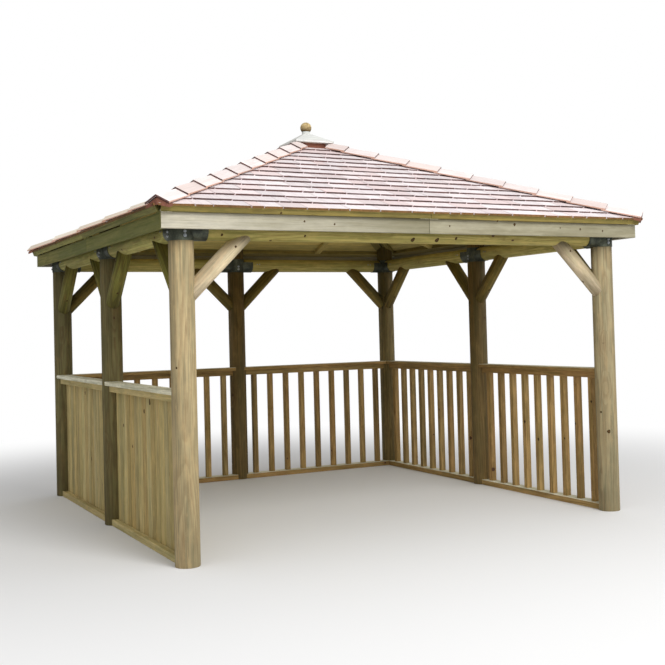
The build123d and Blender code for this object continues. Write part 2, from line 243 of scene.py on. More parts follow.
# The faces between rings of points, ring after ring
def tube(rings, count):
    starts = range(0, (rings - 1) * count, count)
    edges = [(start + i, start + (i + 1) % count) for start in starts for i in range(count)]
    return [(a, b, b + count, a + count) for a, b in edges]


# A rectangle with its corners cut off, its long edges split where the ends aren't straight
def rectangle(width, height, corner=ARRIS, parts=1):
    w, h, c = width / 2, height / 2, corner
    across = [-w + c + (2 * w - 2 * c) * i / parts for i in range(parts + 1)]
    top = [(x, h) for x in across[::-1]]
    return [(w, -h + c), (w, h - c)] + top + [(-w, h - c), (-w, -h + c)] + [(x, -h) for x in across]


# A board's section: its lower corners cut off, its top sloped
def board_section(width, height, corner, slope=0.0):
    w, h, c = width / 2, height / 2, corner
    return [(w, -h + c), (w, h + width * slope), (-w, h), (-w, -h + c), (-w + c, -h), (w - c, -h)]


# A solid swept along a line; each end is a distance, or a function of the place in the section
def sweep(
    piece, loop, origin, along, side, near, far,
    trim=(0, 0), rounded=False, tone=None, fade=(0, 0), kind=0, top_kind=0, end_kind=None,
):
    rng = piece.rng
    up = np.cross(along, side)
    wide = max(abs(u) for u, v in loop)
    high = max(abs(v) for u, v in loop)
    pith = (rng.uniform(-0.8, 0.8) * wide, -high - rng.uniform(0.01, 0.06))
    if rounded:
        pith = (rng.uniform(-0.35, 0.35) * wide, rng.uniform(-0.35, 0.35) * wide)
    shift = rng.uniform(-GRAIN_SHIFT, GRAIN_SHIFT)
    start = near if callable(near) else lambda u, v: near
    end = far if callable(far) else lambda u, v: far

    def shrunk(u, v, cut):
        if rounded:
            return u * (1 - cut / wide), v * (1 - cut / wide)
        return u - math.copysign(min(abs(u), cut), u), v - math.copysign(min(abs(v), cut), v)

    rings = []
    if trim[0]:
        rings.append([(*shrunk(u, v, trim[0]), start(u, v)) for u, v in loop])
    rings.append([(u, v, start(u, v) + trim[0]) for u, v in loop])
    rings.append([(u, v, end(u, v) - trim[1]) for u, v in loop])
    if trim[1]:
        rings.append([(*shrunk(u, v, trim[1]), end(u, v)) for u, v in loop])
    places = [p for ring in rings for p in ring] + [(0, 0, start(0, 0)), (0, 0, end(0, 0))]
    count, layers = len(loop), len(rings)
    faces, smooth = tube(layers, count), []
    for layer in range(layers - 1):
        body = not (trim[0] and layer == 0) and not (trim[1] and layer == layers - 2)
        smooth += [rounded and body] * count
    lower = [min(a[1], b[1]) for a, b in zip(loop, loop[1:] + loop[:1])]
    kinds = [top_kind if top_kind and v > 0.6 * high else kind for v in lower] * (layers - 1)
    first, last = layers * count, layers * count + 1
    for i in range(count):
        j = (i + 1) % count
        faces += [(first, j, i), (last, (layers - 1) * count + i, (layers - 1) * count + j)]
        smooth += [False, False]
        kinds += [kind if end_kind is None else end_kind] * 2
    points = [origin + side * u + up * v + along * t for u, v, t in places]
    grain = [(t + shift, u - pith[0], v - pith[1]) for u, v, t in places]
    half = layers // 2
    fades_and_painted_shade = [fade[0]] * (half * count) + [fade[1]] * ((layers - half) * count) + list(fade)
    piece.add(points, faces, smooth, grain, tone, kinds, fades_and_painted_shade)


# A thin plate from grids of places on its top and underside, with its grain along the rows' direction
def plate(piece, top, bottom, along, across, tone=None, foot_kind=None, kind=0, rim_kind=None):
    rng = piece.rng
    rows, columns = len(top), len(top[0])
    points = [p for grid in (top, bottom) for row in grid for p in row]
    index = lambda layer, r, c: (layer * rows + r) * columns + c
    faces, kinds = [], []
    for layer in (0, 1):
        for r in range(rows - 1):
            for c in range(columns - 1):
                corners = (r, c), (r, c + 1), (r + 1, c + 1), (r + 1, c)
                faces.append(tuple(index(layer, *corner) for corner in corners))
                kinds.append(kind)
    feet = [((0, c), (0, c + 1), foot_kind) for c in range(columns - 1)]
    heads = [((rows - 1, c), (rows - 1, c + 1), kind) for c in range(columns - 1)]
    rims = [((r, c), (r + 1, c), rim_kind) for r in range(rows - 1) for c in (0, columns - 1)]
    for first, second, edge_kind in feet + heads + rims:
        faces.append((index(0, *first), index(0, *second), index(1, *second), index(1, *first)))
        kinds.append(kind if edge_kind is None else edge_kind)
    normal = np.cross(across, along)
    middle = sum(points) / len(points)
    pith = (rng.uniform(-0.1, 0.1), rng.uniform(0.05, 0.15))
    shift = rng.uniform(-GRAIN_SHIFT, GRAIN_SHIFT)
    apart = [p - middle for p in points]
    grain = [(p @ along + shift, p @ across - pith[0], p @ normal + pith[1]) for p in apart]
    piece.add(points, faces, [False] * len(faces), grain, tone, kinds)


# A solid turned about an axis from a profile of radii and heights, with its first layers flat
def turned(piece, base, axis, profile, count, flat_layers=99, tone=None, fades_and_painted_shade=None, foot_kind=0):
    side = unit(np.cross(axis, vec(0.3, 0.2, 0.93)))
    up = np.cross(axis, side)
    points, grain = [], []
    for radius, height in profile:
        for u, v in circle(radius, count):
            points.append(base + side * u + up * v + axis * height)
            grain.append((u, v, height))
    layers = len(profile) - 1
    flat = [layer < flat_layers for layer in range(layers) for i in range(count)]
    faces = tube(layers + 1, count) + [tuple(range(count)), tuple(layers * count + i for i in range(count))]
    smooth = [not level for level in flat] + [False, flat_layers < 99]
    kinds = [foot_kind if level else 0 for level in flat] + [0, 0]
    fades_and_painted_shade = [fade for fade in fades_and_painted_shade or [0.0] * len(profile) for i in range(count)]
    piece.add(points, faces, smooth, grain, tone, kinds, fades_and_painted_shade)


KNOT_FACETS, KNOT_FOOT, KNOT_TOP = 14, -0.002, 0.0007
KNOT_RINGS = [(1.0, KNOT_FOOT), (1.0, 0.0001), (0.7, 0.0005), (0.3, KNOT_TOP)]


# A knot: a low dome let into the wood, with its own grain round its middle
def knot(piece, place, normal, size):
    radius = size / 2
    side = unit(np.cross(normal, vec(0.31, 0.17, 0.93)))
    up = np.cross(normal, side)
    count, phase = KNOT_FACETS, piece.rng.uniform(0, 6.28)
    long, points, grain = piece.rng.uniform(1.1, 1.35), [], []
    for share, height in KNOT_RINGS + [(0, KNOT_FOOT), (0, KNOT_TOP)]:
        for i in range(count if share else 1):
            a = 2 * math.pi * i / count
            ragged = 1 + 0.1 * math.sin(3 * a + phase)
            u, v = share * math.cos(a) * ragged, share * math.sin(a) * ragged
            points.append(place + (side * u + up * v * long) * radius + normal * height)
            grain.append((u, v, phase))
    faces = tube(len(KNOT_RINGS), count)
    back, front = len(points) - 2, len(points) - 1
    for i in range(count):
        j, a = (i + 1) % count, (len(KNOT_RINGS) - 1) * count
        faces += [(back, j, i), (front, a + i, a + j)]
    piece.add(points, faces, [True] * len(faces), grain, 0.5, [1] * len(faces))


# Height of the roof frame's underside over a point of the plan
def roof_underside(x, y):
    return EAVE_FOOT + (EAVE - max(abs(x), abs(y))) * RISE


# A point of one roof slope: along the eave, up the slope and square to it
def on_slope(side, x, up_slope, lift):
    ex, ey = side_axes(side)
    reach = -EAVE + up_slope * COS_PITCH - lift * SIN_PITCH
    return ex * x + ey * reach + UP * (EAVE_FOOT + up_slope * SIN_PITCH + lift * COS_PITCH)


# Materials
def shader(name, specular=0.5):
    material = bpy.data.materials.new(name)
    material.use_nodes = True
    tree = material.node_tree
    for node in list(tree.nodes):
        if node.type != "OUTPUT_MATERIAL":
            tree.nodes.remove(node)
    surface = tree.nodes.new("ShaderNodeBsdfPrincipled")
    surface.inputs["Specular IOR Level"].default_value = specular
    put(tree.nodes["Material Output"].inputs["Surface"], surface.outputs[0])
    return material, tree, surface


def put(socket, value):
    if isinstance(value, bpy.types.NodeSocket):
        socket.id_data.links.new(value, socket)
    else:
        socket.default_value = value


# The tree that the sockets among the values belong to
def tree_of(*values):
    return next(value.id_data for value in values if isinstance(value, bpy.types.NodeSocket))


# A new node fed with the values
def node_for(kind, *values):
    node = tree_of(*values).nodes.new("ShaderNode" + kind)
    for socket, value in zip(node.inputs, values):
        put(socket, value)
    return node


def maths(operation, *values):
    node = node_for("Math", *values)
    node.operation = operation
    return node.outputs[0]


def times(*values):
    product = values[0]
    for value in values[1:]:
        product = maths("MULTIPLY", product, value)
    return product


def plus(*values):
    total = values[0]
    for value in values[1:]:
        total = maths("ADD", total, value)
    return total


def vectors(operation, *values):
    node = node_for("VectorMath", *values)
    node.operation = operation
    return node.outputs["Value"] if operation in ("LENGTH", "DOT_PRODUCT") else node.outputs[0]


def parts_of(vector):
    return node_for("SeparateXYZ", vector).outputs


def joined(*values):
    return node_for("CombineXYZ", *values).outputs[0]


# Noise with its own scale along each axis, or one scale for all
def noise(vector, scale, detail=2.0, rough=0.5):
    if isinstance(scale, tuple):
        vector, scale = vectors("MULTIPLY", vector, scale), 1.0
    node = node_for("TexNoise", vector)
    node.inputs["Scale"].default_value = scale
    node.inputs["Detail"].default_value = detail
    node.inputs["Roughness"].default_value = rough
    return node.outputs["Fac"]


def cells(vector, scale):
    node = node_for("TexVoronoi", vector)
    node.inputs["Scale"].default_value = scale
    return node.outputs


def spread(value, low, high, to_low=0.0, to_high=1.0, smooth=True):
    node = node_for("MapRange", value, low, high, to_low, to_high)
    node.interpolation_type = "SMOOTHSTEP" if smooth else "LINEAR"
    return node.outputs[0]


def mixed(share, a, b, blend="MIX"):
    node = tree_of(share, a, b).nodes.new("ShaderNodeMix")
    node.data_type = "RGBA"
    node.blend_type = blend
    for socket, value in zip((node.inputs[0], *node.inputs[6:8]), (share, a, b)):
        put(socket, value)
    return node.outputs[2]


def attribute(tree, name):
    node = tree.nodes.new("ShaderNodeAttribute")
    node.attribute_name = name
    return node.outputs["Vector"]


# Blends two shaders into an output
def blended(output, *values):
    put(output.inputs["Surface"], node_for("MixShader", *values).outputs[0])


# True where the camera sees a surface itself
def seen(tree):
    return tree.nodes.new("ShaderNodeLightPath").outputs["Is Camera Ray"]


# Gives a surface its colour, its roughness and a relief of a given depth
def dress(surface, base, rough, relief, depth):
    put(surface.inputs["Base Color"], base)
    put(surface.inputs["Roughness"], rough)
    node = surface.id_data.nodes.new("ShaderNodeBump")
    node.inputs["Distance"].default_value = depth
    put(node.inputs["Height"], relief)
    put(surface.inputs["Normal"], node.outputs[0])


# Brightens or darkens a colour by a factor
def levelled(wood, level):
    return mixed(1.0, wood, joined(level, level, level), "MULTIPLY")


# A colour as the photo's pixels give it, turned to linear light
def colour(red, green, blue):
    shares = (red / 255, green / 255, blue / 255)
    linear = [c / 12.92 if c <= 0.04045 else ((c + 0.055) / 1.055) ** 2.4 for c in shares]
    return (*linear, 1.0)


# Lays shades over a base, one after another, each with its share
def layered(base, *layers):
    for share, shade in layers:
        base = mixed(share, base, colour(*shade))
    return base


# Softwood: year rings round a pith, knots with the grain flowing round them, streaks, stains and cracks
YEAR, KNOT_SHADE, CRACK_SHADE = 0.007, (84, 56, 36), (52, 40, 28)


def timber(name, pale, warm, dark, stain, contrast=0.5, knots=6.0, streaks=0.6, stained=0.4, cracks=0.6):
    material, tree, surface = shader(name, 0.3)
    grain = attribute(tree, "grain")
    shade, warmth, fade = parts_of(attribute(tree, "tone"))
    x, y, z = parts_of(grain)
    radius = maths("SQRT", plus(times(y, y), times(z, z), 1e-6))
    turn_y, turn_z = maths("DIVIDE", y, radius), maths("DIVIDE", z, radius)
    around = joined(times(x, 0.8), times(turn_y, 0.08), times(turn_z, 0.08))
    cell = cells(around, knots)
    away = vectors("SUBTRACT", around, cell["Position"])
    chance, size = parts_of(cell["Color"])[:2]
    there = spread(chance, 0.42, 0.44)
    reach = spread(size, 0, 1, 0.005, 0.012, False)
    ragged = times(noise(grain, (60, 90, 90)), 0.005)
    from_knot = plus(vectors("LENGTH", vectors("MULTIPLY", away, (0.8, 1, 1))), ragged)
    along_knot = vectors("LENGTH", vectors("MULTIPLY", away, (0.3, 1, 1)))
    knotted = times(spread(from_knot, plus(reach, 0.004), reach), there)
    halo = times(spread(along_knot, 0.042, 0.008), there)
    wander = times(noise(grain, (0.8, 7, 7)), 0.05)
    wobble = times(noise(grain, (5, 30, 30)), 0.003)
    phase = maths("DIVIDE", plus(radius, wander, wobble, times(halo, 0.012)), YEAR)
    year = maths("FRACT", phase)
    late = times(spread(year, 0.2, 0.86), spread(year, 1.0, 0.9))
    fibre = noise(grain, (7, 420, 420), 3)
    thin = noise(grain, (4, 170, 170), 3)
    streak = noise(grain, (1.8, 60, 60), 3)
    broad = noise(grain, (1.2, 11, 11), 3)
    cloud = noise(grain, (9, 26, 26), 5, 0.65)
    wood = layered(
        mixed(warmth, colour(*pale), colour(*warm)),
        (times(late, contrast), dark),
        (spread(broad, 0.42, 0.62, 0, stained), stain),
        (spread(streak, 0.5, 0.62, 0, streaks), stain),
        (spread(thin, 0.5, 0.66, 0, streaks), dark),
        (spread(cloud, 0.5, 0.68, 0, 0.4), warm),
    )
    wood = levelled(wood, spread(cloud, 0.3, 0.7, 0.88, 1.12, False))
    # Where a piece sets a fade, its stain is laid over the wood there: a stain on posts and fascia boards,
    # painted shade on the lower half of the ball
    faded = spread(plus(fade, times(broad, 0.5), -0.25), 0, 1, 0, 1, False)
    lines = noise(grain, (0.9, 80, 80), 1)
    crack = spread(maths("ABSOLUTE", maths("SUBTRACT", lines, 0.5)), 0.007, 0.001)
    crack = times(crack, spread(noise(grain, (1.4, 9, 9)), 0.5, 0.58, 0, cracks))
    wood = layered(
        wood,
        (times(faded, spread(fade, 0, 0.2)), stain),
        (times(halo, 0.3), dark),
        (knotted, KNOT_SHADE),
        (crack, CRACK_SHADE),
    )
    level = times(spread(shade, 0, 1, 0.74, 1.06, False), spread(fibre, 0.3, 0.7, 0.9, 1.07, False))
    relief = plus(times(fibre, 0.5), times(late, 0.35), times(crack, -1.5))
    dress(surface, levelled(wood, level), spread(streak, 0.3, 0.7, 0.66, 0.82), relief, 0.0007)
    return material


# The dark wood of a knot: rings round its middle, a dark middle and a darker rim
def knot_timber(name, middle, rim):
    material, tree, surface = shader(name, 0.15)
    grain = attribute(tree, "grain")
    x, y = parts_of(grain)[:2]
    radius = maths("SQRT", plus(times(x, x), times(y, y)))
    ragged = plus(radius, times(noise(grain, (2.4, 2.4, 1), 3), 0.3))
    rings = maths("FRACT", times(ragged, 5))
    wood = layered(
        colour(*middle),
        (spread(ragged, 0.6, 1.05), rim),
        (times(rings, 0.35), rim),
        (spread(radius, 0.22, 0.08), (30, 20, 14)),
    )
    dress(surface, wood, 0.85, rings, 0.0003)
    return material


# Sawn cedar: each shingle has its own tone between two colours, with straight fibres and saw marks
def cedar(name, first, second, weathered, fibres=(5, 260, 60), depth=0.0009, levels=(0.84, 1.03)):
    material, tree, surface = shader(name, 0.25)
    grain = attribute(tree, "grain")
    shade, warmth = parts_of(attribute(tree, "tone"))[:2]
    fibre = noise(grain, fibres, 3)
    streak = noise(grain, (2, 50, 12), 3)
    cloud = noise(grain, (7, 16, 16), 3)
    saw = noise(grain, (240, 12, 12))
    wood = layered(
        colour(*first),
        (spread(warmth, 0.35, 1), second),
        (spread(streak, 0.45, 0.7, 0, 0.5), weathered),
        (spread(cloud, 0.45, 0.7, 0, 0.4), weathered),
    )
    level = times(spread(shade, 0, 1, *levels, False), spread(fibre, 0.3, 0.7, 0.9, 1.06, False))
    dress(surface, levelled(wood, level), 0.8, plus(fibre, times(saw, 0.5)), depth)
    return material


# The lower ends of shingles, where the fibres are seen end on
def cedar_ends(name, first, second, weathered, levels=(0.8, 1.1)):
    return cedar(name, first, second, weathered, (90, 160, 900), 0.0012, levels)


# Galvanised steel with a mottled skin
def steel(name, pale, dark, rough=(0.42, 0.6)):
    material, tree, surface = shader(name)
    place = tree.nodes.new("ShaderNodeTexCoord").outputs["Object"]
    spangle = cells(place, 90)["Distance"]
    cloud = noise(place, 14, 4, 0.6)
    clouded = spread(cloud, 0.3, 0.7)
    skin = layered(colour(*pale), (clouded, dark), (spread(spangle, 0.2, 0.8, 0, 0.4), dark))
    surface.inputs["Metallic"].default_value = 0.8
    dress(surface, skin, spread(cloud, 0.3, 0.7, *rough), plus(noise(place, 400), times(cloud, 2)), 0.0003)
    return material


post_wood = timber(
    "post_wood", (204, 188, 146), (200, 170, 122), (150, 120, 80), (134, 128, 98), contrast=0.45,
)
# A darker copy of the post wood for the posts away from the open front: painted shade of the roof
painted_shade_post_wood = timber(
    "painted_shade_post_wood", (152, 143, 92), (154, 125, 76), (104, 78, 44), (98, 92, 56),
)
beam_wood = timber(
    "beam_wood", (192, 186, 106), (190, 166, 98), (140, 120, 64), (132, 130, 66),
    contrast=0.45, knots=6.5,
)
# A lighter copy of the brace wood for the open front: painted light
painted_light_brace_wood = timber(
    "painted_light_brace_wood", (240, 224, 192), (234, 208, 170), (186, 158, 116), (182, 172, 134),
    contrast=0.3, streaks=0.35,
)
# A darker, greener copy of the brace wood for the other sides: painted shade
painted_shade_brace_wood = timber(
    "painted_shade_brace_wood", (148, 144, 66), (150, 122, 58), (100, 78, 34), (96, 92, 40),
)
rail_wood = timber(
    "rail_wood", (206, 178, 118), (186, 148, 92), (132, 98, 56), (126, 110, 62), knots=8.0,
)
board_wood = timber(
    "board_wood", (222, 206, 148), (206, 178, 114), (150, 124, 74), (144, 138, 84),
    contrast=0.45, knots=5.5, streaks=0.35,
)
# Pale wood for rail tops, packers and the left rail cap: partly weathering, partly painted light from the
# sky on top faces
weathered_and_painted_light_wood = timber(
    "weathered_and_painted_light_wood", (244, 242, 222), (236, 230, 202), (180, 170, 134), (176, 176, 150), contrast=0.35,
)
fascia_wood = timber(
    "fascia_wood", (200, 195, 178), (192, 186, 164), (160, 148, 116), (112, 106, 74),
    contrast=0.3, knots=4.0, streaks=0.25, stained=0.2, cracks=0.3,
)
# A darker, greener copy of the fascia wood for the left side, every fascia board's ends and the left roof
# panels: partly greener wood, partly painted shade
greener_and_painted_shade_side_wood = timber(
    "greener_and_painted_shade_side_wood", (150, 146, 78), (140, 132, 68), (100, 94, 44), (96, 102, 50), cracks=0.4,
)
roof_wood = timber(
    "roof_wood", (170, 154, 86), (158, 138, 72), (120, 102, 50), (112, 106, 54), contrast=0.45,
)
ceiling_wood = timber(
    "ceiling_wood", (232, 212, 130), (218, 192, 110), (176, 150, 80), (160, 150, 80), contrast=0.4,
)
cap_wood = timber(
    "cap_wood", (234, 236, 234), (228, 228, 222), (204, 198, 188), (200, 204, 200),
    contrast=0.3, knots=4.0,
)
# The finial wood's stain colour also paints the shade on the lower half of the ball
finial_wood = timber(
    "finial_wood", (226, 206, 154), (216, 188, 130), (160, 130, 84), (84, 62, 34),
    contrast=0.3, knots=2.0,
)
knot_wood = knot_timber("knot_wood", (96, 72, 42), (58, 44, 26))
shingle_wood = cedar("shingle_wood", (242, 233, 234), (236, 216, 214), (226, 213, 215))
hip_wood = cedar("hip_wood", (240, 229, 226), (231, 210, 202), (221, 205, 202))
pale_hip_wood = cedar("pale_hip_wood", (252, 242, 224), (246, 230, 208), (236, 218, 200))
hip_edge_wood = cedar("hip_edge_wood", (218, 180, 162), (212, 166, 142), (196, 158, 142))
# Dark reddish cedar for the curb under the cap and the blocks at the hips' feet: painted shade
painted_shade_curb_wood = cedar("painted_shade_curb_wood", (144, 94, 76), (130, 82, 66), (108, 72, 60))
# Dark end grain for the shingle and hip butts, darker still as painted shade under each butt
end_grain_and_painted_shade_butt_wood = cedar_ends("end_grain_and_painted_shade_butt_wood", (112, 84, 80), (92, 68, 64), (72, 54, 52), (0.7, 1.1))
eave_butt_wood = cedar_ends("eave_butt_wood", (142, 104, 62), (126, 90, 52), (102, 72, 44))
# A darker copy of the eave butts for the left side: painted shade
painted_shade_eave_butt_wood = cedar_ends("painted_shade_eave_butt_wood", (116, 84, 44), (104, 72, 36), (84, 58, 30))
# Dark, olive-tinted steel for the brackets: the olive tint is painted reflection of green surroundings, the
# darkness partly painted shade under the roof
galvanised_painted_shade_and_reflection = steel("galvanised_painted_shade_and_reflection", (102, 106, 90), (60, 64, 58))
zinc = steel("zinc", (190, 194, 196), (140, 146, 150), (0.3, 0.45))

# Seven round posts, cut at the top to the slopes that they carry: place, tones and turns of the beams
POSTS = {
    "front_left": (-HALF, -HALF, (0.75, 0.5), (0, 90)),
    "front_right": (HALF, -HALF, (0.15, 0.1), (90, 180)),
    "back_right": (HALF, HALF, (0.45, 0.6), (180, 270)),
    "back_left": (-HALF, HALF, (0.0, 0.0), (270, 360)),
    "left": (-HALF, 0, (0.0, 0.1), (90, 270)),
    "back": (0, HALF, (0.3, 1.0), (0, 180)),
    "right": (HALF, 0, (0.45, 1.0), (90, 270)),
}
POST_FADE = (0.0, 0.3)
for seed, (place, (px, py, tone, turns)) in enumerate(POSTS.items()):
    post = Piece(f"round_post_{place}", 100 + seed)
    top = lambda u, v: roof_underside(px + u, py + v)
    loop, foot = circle(POST_RADIUS, FINE_FACETS), vec(px, py, 0)
    sweep(post, loop, foot, UP, vec(1, 0, 0), 0.0, top, (BOLD_ARRIS, 0.0), True, tone, POST_FADE)
    for pixel, size in POST_KNOTS.get(place, {}).items():
        knot(post, *seen_on_round(pixel, foot, UP, POST_RADIUS), size)
    # Posts away from the open front take the darker copy: painted shade
    wood = post_wood if py < 0 else painted_shade_post_wood
    post.finish("post_timber", (wood, knot_wood), f"post_{place}")

# Round beams: one long one over the open front, two on each other side
for seed, side in enumerate(SIDES):
    ex, ey = side_axes(side)
    beams = Piece(f"round_beams_{side}", 200 + seed)
    for start, end in [(-HALF, HALF)] if side == "front" else [(-HALF, 0), (0, HALF)]:
        origin = ex * (start + end) / 2 - ey * HALF + UP * BEAM_AXIS
        reach = (end - start) / 2 - BEAM_INSET
        tone = (0.35, 0.0) if side == "left" else (0.8, 0.5)
        loop = circle(BEAM_RADIUS, FACETS)
        sweep(beams, loop, origin, ex, ey, -reach, reach, (ARRIS, ARRIS), True, tone)
    if side == "front":
        for pixel, size in BEAM_KNOTS.items():
            knot(beams, *seen_on_round(pixel, origin, ex, BEAM_RADIUS), size)
    node = "beam_front" if side == "front" else f"beams_{side}"
    beams.finish("beam_timber", (beam_wood, knot_wood), node)

# Round braces at 45 degrees, scribed to the post and to the beam, with a dark disc near each end for a sunk
# screw, its darkness painted shade of the hole
BRACE_START = BEAM_AXIS - BEAM_RADIUS - BRACE_DROP - POST_RADIUS
slant = math.sqrt(0.5)
post_gap, beam_gap = POST_RADIUS + CLEARANCE, BEAM_RADIUS + CLEARANCE
screws = Piece("screws_and_bolts", 340)
for seed, side in enumerate(SIDES):
    ex, ey = side_axes(side)
    braces = Piece(f"round_braces_{side}", 300 + seed)
    for place, lean in [(-HALF, 1), (HALF, -1)] + ([] if side == "front" else [(0, 1), (0, -1)]):
        origin = ex * place - ey * HALF + UP * BRACE_START
        along = (ex * lean + UP) * slant
        rise = BEAM_AXIS - BRACE_START
        foot = lambda u, v: (math.sqrt(post_gap**2 - u * u) + lean * slant * v) / slant
        head = lambda u, v: (rise - math.sqrt(beam_gap**2 - u * u) - lean * slant * v) / slant
        tone = {"front": (0.65 + 0.35 * lean, 0.3), "left": (0.6, 0.0)}.get(side, (0.5, 0.8))
        loop = circle(BRACE_RADIUS, FACETS)
        sweep(braces, loop, origin, along, ey, foot, head, rounded=True, tone=tone)
        under = unit(np.cross(along, ey)) * lean * -1
        # Dark knot-wood discs for the sunk screws: painted shade in their holes
        for distance, out in ((foot(0, 0) + SCREW_IN["foot"], under), (head(0, 0) - SCREW_IN["head"], -ey)):
            knot(braces, origin + along * distance + out * BRACE_RADIUS, out, SCREW_RECESS)
    # Front braces take the lighter copy, as painted light; the others the darker copy, as painted shade
    wood = painted_light_brace_wood if side == "front" else painted_shade_brace_wood
    braces.finish("brace_timber", (wood, knot_wood), f"braces_{side}")


# Rail ends: scribed to the posts, and mitred where a corner is turned
def coped(offset, turn=None):
    def end(u, v):
        across = offset + u
        clear = POST_RADIUS + CLEARANCE
        scribe = math.sqrt(max(clear**2 - across**2, 0))
        return scribe if turn is None else max(scribe, turn + across)

    return end


# A rail of one bay; offset is its middle's distance inwards from the line of posts
def rail(piece, side, start, end, offset, width, foot, height, turns=(None, None), **looks):
    ex, ey = side_axes(side)
    origin = ex * start + ey * (-HALF + offset) + UP * (foot + height / 2)
    near, far = coped(offset, turns[0]), coped(offset, turns[1])
    length = end - start
    reach = lambda u, v: length - far(u, v)
    sweep(piece, rectangle(width, height, BOLD_ARRIS, RAIL_PARTS), origin, ex, ey, near, reach, **looks)


cap_foot = RAIL_TOP - RAIL_CAP_THICK
under_foot = cap_foot - UNDER_RAIL
BAYS = {
    "back_left": ("back", 0, HALF, BACK_FACE, (None, None)),
    "back_right": ("back", -HALF, 0, BACK_FACE, (RIGHT_FACE - BACK_FACE, None)),
    "right_back": ("right", 0, HALF, RIGHT_FACE, (None, BACK_FACE - RIGHT_FACE)),
    "right_front": ("right", -HALF, 0, RIGHT_FACE, (None, None)),
}
for seed, (bay, (side, start, end, face, turns)) in enumerate(BAYS.items()):
    ex, ey = side_axes(side)
    middle = face - RAIL_CAP / 2
    bars = Piece(f"rails_{bay}", 400 + seed)
    bay_line = side, start, end, middle
    # The cap and the bottom rail take the pale wood on their tops: partly weathering, partly painted light
    rail(bars, *bay_line, RAIL_CAP, cap_foot, RAIL_CAP_THICK, turns, tone=0.8, top_kind=2)
    rail(bars, *bay_line, UNDER_RAIL, under_foot, UNDER_RAIL)
    rail(bars, *bay_line, RAIL_CAP, 0, BOTTOM_RAIL, turns, tone=0.8, top_kind=2)
    for i in range(BALUSTER_COUNT):
        place = (start + end) / 2 + (i - (BALUSTER_COUNT - 1) / 2) * BALUSTER_PITCH
        origin = ex * place + ey * (middle - HALF)
        sweep(bars, rectangle(BALUSTER, BALUSTER, BOLD_ARRIS), origin, UP, ex, BOTTOM_RAIL, under_foot)
    if bay == "right_front":
        inner = ey * (middle + BALUSTER / 2 - HALF)
        for pixel, size in BALUSTER_KNOTS.items():
            knot(bars, seen_on_plane(pixel, inner, ey), ey, size)
    bars.finish("rail_timber", (rail_wood, knot_wood, weathered_and_painted_light_wood), f"balustrade_{bay}")

# Boarded bays: tongued boards behind a rail at the top and one at the ground
board_face = LEFT_FACE + RAIL_CAP / 2 + UNDER_RAIL / 2
for seed, (bay, start, end) in enumerate((("left_back", -HALF, 0), ("left_front", 0, HALF))):
    ex, ey = side_axes("left")
    boards = Piece(f"boards_{bay}", 500 + seed)
    under = board_face - UNDER_RAIL / 2
    cap_line = LEFT_FACE + RAIL_CAP / 2
    # The left rail cap takes the pale wood all over: partly weathering, partly painted light
    rail(boards, "left", start, end, cap_line, RAIL_CAP, cap_foot, RAIL_CAP_THICK, tone=1.0, kind=2)
    rail(boards, "left", start, end, under, UNDER_RAIL, under_foot, UNDER_RAIL, tone=0.6)
    rail(boards, "left", start, end, under, UNDER_RAIL, 0, UNDER_RAIL)
    span = (end - start) / 2 - POST_RADIUS - CLEARANCE
    joints = [(i - BOARD_JOINTS // 2) * BOARD_PITCH for i in range(BOARD_JOINTS)]
    edges = [-span] + joints + [span]
    for low, high in zip(edges, edges[1:]):
        width = high - low - BOARD_GAP
        origin = ex * ((start + end) / 2 + (low + high) / 2) + ey * (-HALF + board_face + BOARD_THICK / 2)
        sweep(boards, board_section(width, BOARD_THICK, BOARD_BEVEL), origin, UP, ex, BOARD_LIFT, cap_foot)
    for pixel, size in BOARD_KNOTS.items():
        spot = seen_on_plane(pixel, ey * (board_face - HALF), ey)
        if start < spot @ ex < end:
            knot(boards, spot, -ey, size)
    boards.finish("boarding_timber", (board_wood, knot_wood, weathered_and_painted_light_wood), f"boarding_{bay}")

# Fascia boards in two lengths a side, with packers at their ends
fascia_top = EAVE_FOOT + (EAVE - FASCIA_FACE) * RISE
board_top = fascia_top - PACKER
slope_cut = lambda base: lambda u, v: base + (u + FASCIA_THICK / 2) * RISE
JOINT = {side: 0.024 if side == "front" else 0.0 for side in SIDES}
FASCIA_FADES = {1: (0.5, 0.45), -1: (0.0, 0.75)}
for seed, side in enumerate(SIDES):
    ex, ey = side_axes(side)
    fascia = Piece(f"fascia_boards_{side}", 600 + seed)
    end = FASCIA_FACE - FASCIA_THICK if side in ("left", "right") else FASCIA_FACE
    outer = -FASCIA_FACE + FASCIA_THICK / 2
    height = board_top - FASCIA_FOOT
    for hand in (1, -1):
        loop = board_section(FASCIA_THICK, height, ARRIS, RISE)
        near, far = sorted((JOINT[side] + hand * SPLICE, hand * end))
        origin = ey * outer + UP * (FASCIA_FOOT + height / 2)
        looks = {"tone": 0.8, "fade": FASCIA_FADES[hand], "end_kind": 3}
        sweep(fascia, loop, origin, ex, ey, near, far, (FINE_ARRIS, FINE_ARRIS), **looks)
        for place in (hand * JOINT[side] + SPLICE + PACKER_LENGTH / 2, end - PACKER_LENGTH / 2):
            origin = ex * hand * place + ey * outer
            loop = rectangle(FASCIA_THICK, PACKER_LENGTH, FINE_ARRIS)
            ends = slope_cut(board_top), slope_cut(fascia_top)
            sweep(fascia, loop, origin, UP, ey, *ends, tone=1.0, kind=0 if side == "left" else 2)
    if side == "front":
        for pixel, size in FASCIA_KNOTS.items():
            knot(fascia, seen_on_plane(pixel, ey * -FASCIA_FACE, ey), -ey, size)
    # The left fascia takes the darker, greener copy: partly greener wood, partly painted shade
    wood = greener_and_painted_shade_side_wood if side == "left" else fascia_wood
    fascia.finish("fascia_timber", (wood, knot_wood, weathered_and_painted_light_wood, greener_and_painted_shade_side_wood), f"fascia_{side}")

